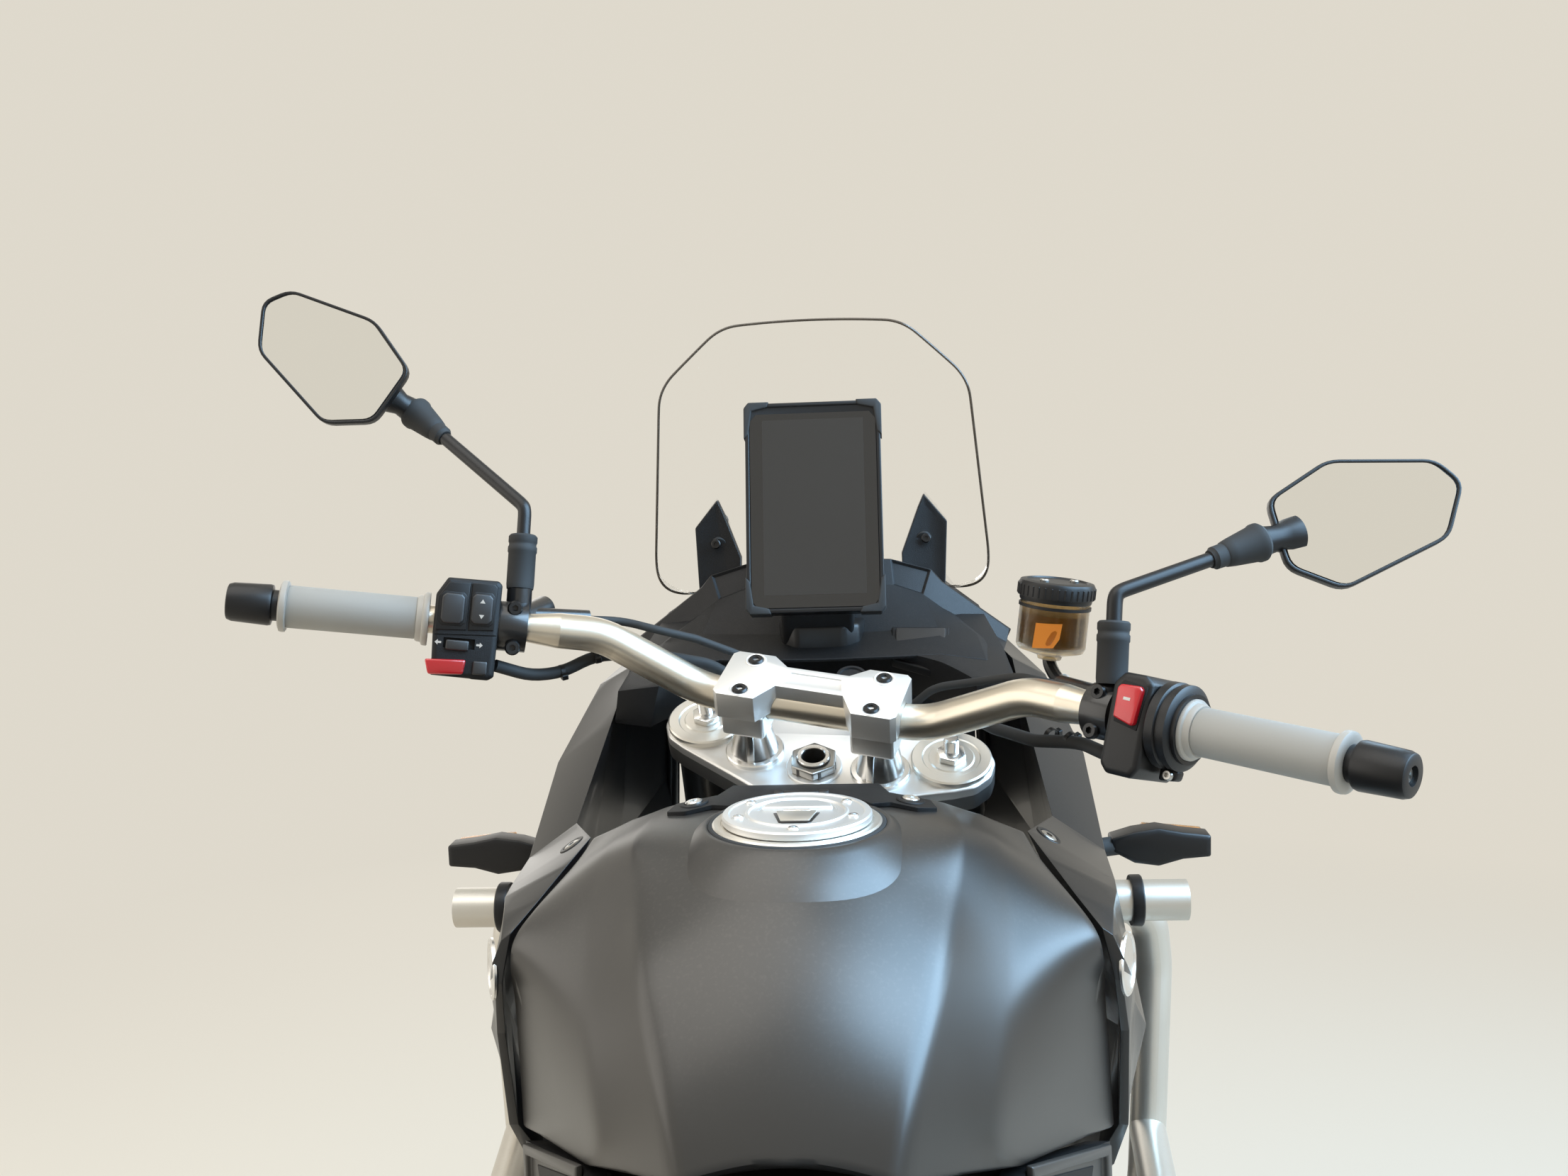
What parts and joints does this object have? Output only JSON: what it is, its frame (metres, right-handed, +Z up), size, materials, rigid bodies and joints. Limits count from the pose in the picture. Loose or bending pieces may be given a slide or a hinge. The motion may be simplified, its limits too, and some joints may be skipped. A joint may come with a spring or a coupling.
{
  "type": "adventure motorcycle",
  "caption": "Tall adventure motorcycle on its centre stand, with a faceted tank, an upright display, a clear screen, silver crash bars, spoked wheels and a luggage rack.",
  "frame": {"origin": "middle of the bounding box on the ground, in the bike's middle plane", "axes": "+Y forward along the bike, +X to the rider's right, +Z up"},
  "size_m": [0.9374, 2.1703, 1.3921],
  "materials": {
    "frame_paint": "satin",
    "engine_metal": "satin",
    "alloy": "satin",
    "steel": "satin",
    "black_metal": "satin",
    "tank_paint": "satin",
    "gloss_plastic": "gloss",
    "matte_plastic": "matte",
    "rubber": "matte",
    "grip_rubber": "matte",
    "tyre": "matte",
    "seat_cover": "matte",
    "clear": "gloss",
    "lamp_lens": "gloss",
    "amber_plastic": "gloss"
  },
  "bodies": {
    "chassis": {"frame": "frame_paint", "engine": "engine_metal", "airbox": "matte_plastic", "chain": "steel", "radiator": "engine_metal", "exhaust": "steel", "silencer": "steel", "skid_plate": "alloy", "swingarm": "black_metal", "rear_caliper": "black_metal", "rear_shock": "steel", "footrests": "black_metal", "stand_pins": "steel", "tank_cover": "tank_paint", "filler_ring": "alloy", "seat": "seat_cover", "fairings": "gloss_plastic", "dash": "matte_plastic", "nose_cowl": "gloss_plastic", "headlamp": "lamp_lens", "nose_frame": "frame_paint", "windscreen": "clear", "display": "matte_plastic", "screen_brackets": "matte_plastic", "crash_bars": "steel", "indicators": "matte_plastic", "tail_panels": "gloss_plastic", "tail_lamp": "lamp_lens", "plate_carrier": "matte_plastic", "rear_rack": "black_metal", "rear_mudguard": "matte_plastic"},
    "front_wheel": {"front_wheel": "alloy", "front_tyre": "tyre"},
    "rear_wheel": {"rear_wheel": "alloy", "rear_tyre": "tyre"},
    "steering": {"top_clamp": "alloy", "bottom_clamp": "black_metal", "fork_tubes": "black_metal", "fork_caps": "alloy", "fork_legs": "alloy", "front_axle": "steel", "fork_guards": "matte_plastic", "front_mudguard": "matte_plastic", "brake_calipers": "alloy", "handlebar": "alloy", "bar_clamp": "alloy", "grips": "grip_rubber", "bar_ends": "matte_plastic", "switch_left": "matte_plastic", "switch_right": "matte_plastic", "perches": "black_metal", "levers": "black_metal", "reservoir": "amber_plastic", "mirror_left": "matte_plastic", "mirror_right": "matte_plastic", "cables": "rubber"},
    "centre_stand": {"centre_stand": "black_metal"},
    "side_stand": {"side_stand": "black_metal"},
    "filler_lid": {"filler_lid": "alloy"}
  },
  "joints": [
    {"name": "steering_turn", "type": "hinge", "parent": "chassis", "child": "steering", "pos_m": [0, 0.3649, 0.985], "axis": [0, -0.4462, 0.8949], "range_deg": [-20.5, 51.5]},
    {"name": "front_wheel_spin", "type": "hinge", "parent": "steering", "child": "front_wheel", "pos_m": [0.01555, 0.74611, 0.34606], "axis": [0.9636, -0.2392, -0.1192], "continuous": true},
    {"name": "centre_stand_fold", "type": "hinge", "parent": "chassis", "child": "centre_stand", "pos_m": [0, -0.096, 0.296], "axis": [-1, 0, 0], "range_deg": [0, 92]},
    {"name": "side_stand_fold", "type": "hinge", "parent": "chassis", "child": "side_stand", "pos_m": [-0.174, -0.06, 0.272], "axis": [0.9681, 0, -0.2504], "range_deg": [0, 105]},
    {"name": "rear_wheel_spin", "type": "hinge", "parent": "chassis", "child": "rear_wheel", "pos_m": [0, -0.752, 0.352], "axis": [1, 0, 0], "continuous": true},
    {"name": "filler_lid_open", "type": "hinge", "parent": "chassis", "child": "filler_lid", "pos_m": [0, 0.1944, 1.0084], "axis": [-1, 0, 0], "range_deg": [0, 100]}
  ]
}
